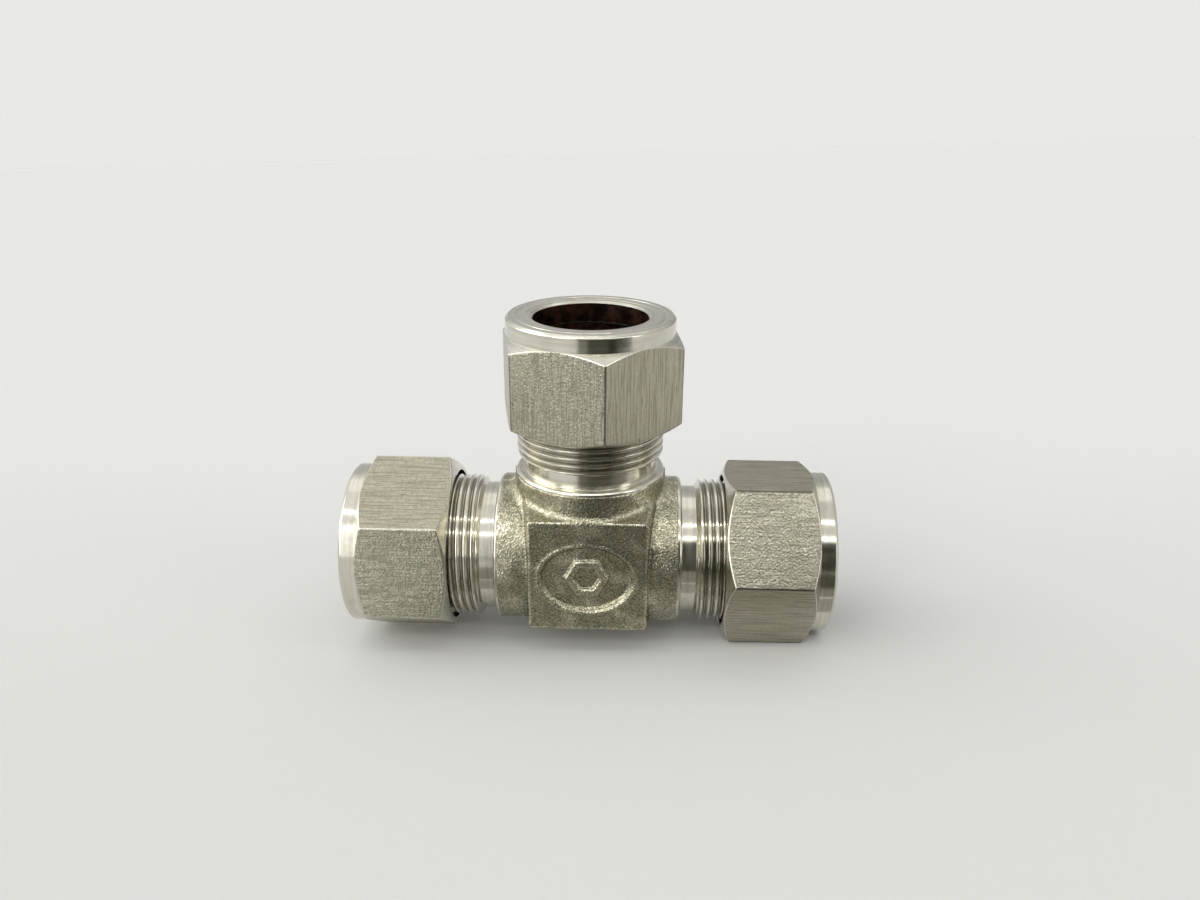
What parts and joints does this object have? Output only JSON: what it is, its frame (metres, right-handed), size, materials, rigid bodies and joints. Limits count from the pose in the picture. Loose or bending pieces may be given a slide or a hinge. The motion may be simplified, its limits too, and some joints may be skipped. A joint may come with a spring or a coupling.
{
  "type": "compression tee fitting",
  "caption": "Equal tee with a forged body and a hexagonal nut and two ferrules at each of its three ends, for joining straight metal tubes.",
  "frame": {"origin": "centre of the bounding box in X and Y, on the surface that the lowest nut corner touches; the three tube axes cross 16.456 mm above it", "axes": "+X along the run from the left port to the right port, +Z along the branch, -Y out of the front wrench pad with the oval"},
  "size_m": [0.0844, 0.033, 0.0596],
  "materials": {
    "forged_steel": "stainless steel, forged and grit blasted on the block and necks, bright turned on the shoulders, reliefs, threads and bores",
    "hexagon_steel": "stainless steel, drawn hexagon with a fine lengthways grain, bright turned collar and end face",
    "ferrule_steel": "stainless steel, bright turned"
  },
  "bodies": {
    "tee_body": {"tee_body": "forged_steel"},
    "left_ferrules": {"left_back_ferrule": "ferrule_steel", "left_front_ferrule": "ferrule_steel"},
    "left_nut": {"left_nut": "hexagon_steel"},
    "right_ferrules": {"right_back_ferrule": "ferrule_steel", "right_front_ferrule": "ferrule_steel"},
    "right_nut": {"right_nut": "hexagon_steel"},
    "branch_ferrules": {"branch_back_ferrule": "ferrule_steel", "branch_front_ferrule": "ferrule_steel"},
    "branch_nut": {"branch_nut": "hexagon_steel"}
  },
  "joints": [
    {"name": "left_nut_travel", "type": "slide", "parent": "tee_body", "child": "left_ferrules", "axis": [-1, 0, 0], "range_m": [-0.0025, 0.0075]},
    {"name": "left_nut_turn", "type": "hinge", "parent": "left_ferrules", "child": "left_nut", "pos_m": [0, 0, 0.01646], "axis": [-1, 0, 0], "range_deg": [-708.66, 2125.98]},
    {"name": "right_nut_travel", "type": "slide", "parent": "tee_body", "child": "right_ferrules", "axis": [1, 0, 0], "range_m": [-0.0023, 0.0077]},
    {"name": "right_nut_turn", "type": "hinge", "parent": "right_ferrules", "child": "right_nut", "pos_m": [0, 0, 0.01646], "axis": [1, 0, 0], "range_deg": [-651.97, 2182.68]},
    {"name": "branch_nut_travel", "type": "slide", "parent": "tee_body", "child": "branch_ferrules", "axis": [0, 0, 1], "range_m": [-0.0033, 0.0067]},
    {"name": "branch_nut_turn", "type": "hinge", "parent": "branch_ferrules", "child": "branch_nut", "pos_m": [0, 0, 0.01646], "axis": [0, 0, 1], "range_deg": [-935.43, 1899.21]}
  ],
  "couplings": [
    {"joint": "left_nut_travel", "follows": "left_nut_turn", "m_per_rad": 0.00020213},
    {"joint": "right_nut_travel", "follows": "right_nut_turn", "m_per_rad": 0.00020213},
    {"joint": "branch_nut_travel", "follows": "branch_nut_turn", "m_per_rad": 0.00020213}
  ]
}
